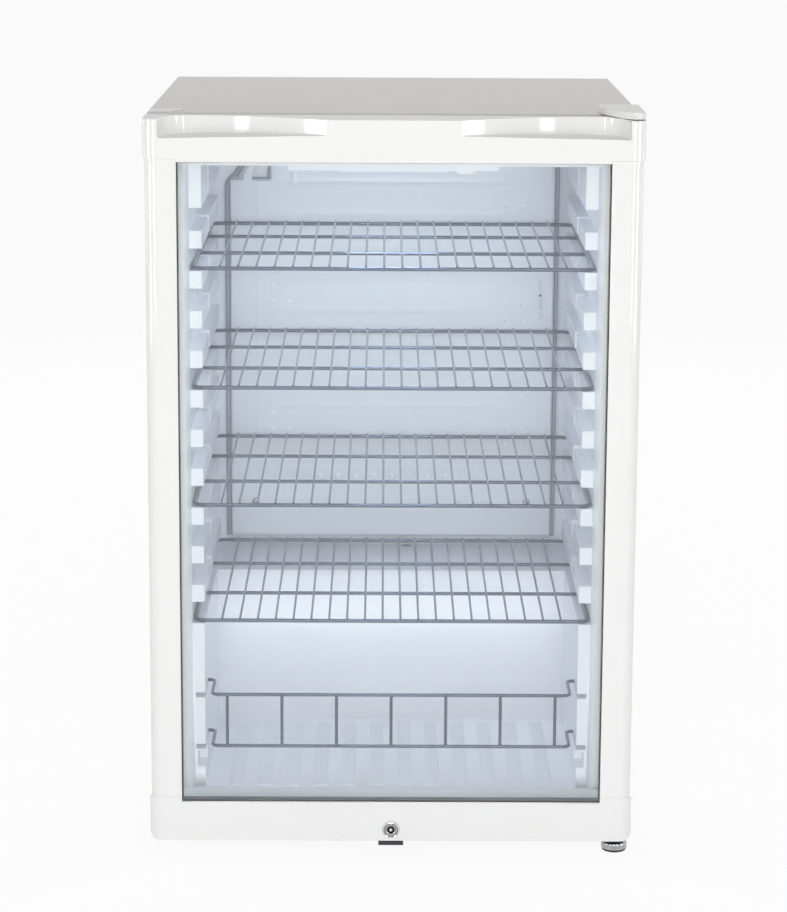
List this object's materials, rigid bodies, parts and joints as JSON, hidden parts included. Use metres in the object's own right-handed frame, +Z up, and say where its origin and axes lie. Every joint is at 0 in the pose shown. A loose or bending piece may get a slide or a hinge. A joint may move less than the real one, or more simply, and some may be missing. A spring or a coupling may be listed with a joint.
{
  "type": "under-counter glass-door refrigerator",
  "caption": "White under-counter display refrigerator with a glazed lockable door, wire shelves, a bottle guard rail and a rear condenser over an open compressor bay.",
  "frame": {"origin": "centre of the footprint box, on the floor under the feet", "axes": "+Z up; -Y out of the door's front; +X to the right when facing the door"},
  "size_m": [0.55, 0.583, 0.8525],
  "materials": {
    "white_coated_steel": "gloss powder coat",
    "worktop_laminate": "fine satin laminate",
    "white_moulding": "high gloss",
    "liner_styrene": "vacuum-formed satin",
    "inner_frame_pvc": "satin",
    "polyurethane_foam": "cellular",
    "galvanised_steel": "spangled zinc",
    "compressor_enamel": "semi-gloss black",
    "black_rubber": "matt",
    "zinc_screws": "zinc plated",
    "black_moulding": "fine texture",
    "copper_tube": "drawn copper",
    "aluminium_tube": "drawn",
    "drain_pvc": "satin",
    "evaporator_aluminium": "lacquered roll-bond",
    "lamp_diffuser": "opal",
    "dial_moulding": "gloss",
    "shelf_wire": "bright plated",
    "keeper_steel": "dark coating",
    "foot_moulding": "bright with dark underside",
    "clear_glass": "polished",
    "spacer_black": "satin",
    "gasket_pvc": "soft satin",
    "bush_nylon": "natural",
    "lock_chrome": "polished"
  },
  "bodies": {
    "cabinet": {"side_panel_left": "white_coated_steel", "side_panel_right": "white_coated_steel", "worktop": "worktop_laminate", "front_frame": "white_coated_steel", "liner": "liner_styrene", "foam_insulation": "polyurethane_foam", "back_panel": "white_coated_steel", "base_pan": "galvanised_steel", "bay_wall": "galvanised_steel", "compressor_plate": "galvanised_steel", "compressor": "compressor_enamel", "compressor_grommets": "black_rubber", "compressor_bolts": "zinc_screws", "relay_cover": "black_moulding", "discharge_pipe": "copper_tube", "suction_pipe": "aluminium_tube", "filter_drier": "copper_tube", "capillary_tube": "copper_tube", "condenser": "compressor_enamel", "condenser_clips": "black_moulding", "drip_tray": "black_moulding", "drain_tube": "drain_pvc", "mains_gland": "black_moulding", "evaporator_plate": "evaporator_aluminium", "evaporator_studs": "zinc_screws", "thermostat_sensor": "zinc_screws", "lamp_housing": "liner_styrene", "lamp_lens": "lamp_diffuser", "guard_rail": "shelf_wire", "lower_hinge_bracket": "galvanised_steel", "lower_hinge_pin": "zinc_screws", "upper_hinge_bracket": "galvanised_steel", "upper_hinge_pin": "zinc_screws", "hinge_cover": "white_moulding", "hinge_screws": "zinc_screws", "hinge_hole_plug": "white_moulding", "lock_keeper": "keeper_steel", "rear_feet": "black_rubber", "panel_screws": "zinc_screws"},
    "door": {"door_top_cap": "white_moulding", "door_bottom_cap": "white_moulding", "door_profile_left": "white_moulding", "door_profile_right": "white_moulding", "outer_glass": "clear_glass", "inner_glass": "clear_glass", "glass_spacer": "spacer_black", "inner_frame": "inner_frame_pvc", "gasket": "gasket_pvc", "hinge_bushes": "bush_nylon", "lock_barrel": "lock_chrome"},
    "lock": {"lock_plug": "lock_chrome", "lock_cam": "zinc_screws"},
    "rocker": {"rocker_switch": "black_moulding"},
    "dial": {"thermostat_dial": "dial_moulding"},
    "shelf_1": {"shelf_1": "shelf_wire"},
    "shelf_2": {"shelf_2": "shelf_wire"},
    "shelf_3": {"shelf_3": "shelf_wire"},
    "shelf_4": {"shelf_4": "shelf_wire"},
    "foot_left": {"foot_left": "foot_moulding"},
    "foot_right": {"foot_right": "foot_moulding"}
  },
  "joints": [
    {"name": "door_hinge", "type": "hinge", "parent": "cabinet", "child": "door", "pos_m": [0.258, -0.2485, 0.434], "axis": [0, 0, 1], "range_deg": [0, 110]},
    {"name": "lock_turn", "type": "hinge", "parent": "door", "child": "lock", "pos_m": [0, -0.2735, 0.0364], "axis": [0, 1, 0], "range_deg": [0, 90]},
    {"name": "rocker_tilt", "type": "hinge", "parent": "cabinet", "child": "rocker", "pos_m": [-0.086, -0.0805, 0.7745], "axis": [0, 1, 0], "range_deg": [-18, 0]},
    {"name": "dial_turn", "type": "hinge", "parent": "cabinet", "child": "dial", "pos_m": [0.086, -0.0805, 0.7685], "axis": [0, 0, -1], "range_deg": [0, 270]},
    {"name": "shelf_1_slide", "type": "slide", "parent": "cabinet", "child": "shelf_1", "axis": [0, -1, 0], "range_m": [0, 0.05]},
    {"name": "shelf_2_slide", "type": "slide", "parent": "cabinet", "child": "shelf_2", "axis": [0, -1, 0], "range_m": [0, 0.05]},
    {"name": "shelf_3_slide", "type": "slide", "parent": "cabinet", "child": "shelf_3", "axis": [0, -1, 0], "range_m": [0, 0.05]},
    {"name": "shelf_4_slide", "type": "slide", "parent": "cabinet", "child": "shelf_4", "axis": [0, -1, 0], "range_m": [0, 0.05]},
    {"name": "foot_left_turn", "type": "hinge", "parent": "cabinet", "child": "foot_left", "pos_m": [-0.24, -0.1685, 0.01], "axis": [0, 0, 1], "range_deg": [0, 720]},
    {"name": "foot_right_turn", "type": "hinge", "parent": "cabinet", "child": "foot_right", "pos_m": [0.258, -0.2485, 0.005], "axis": [0, 0, 1], "range_deg": [0, 720]}
  ]
}
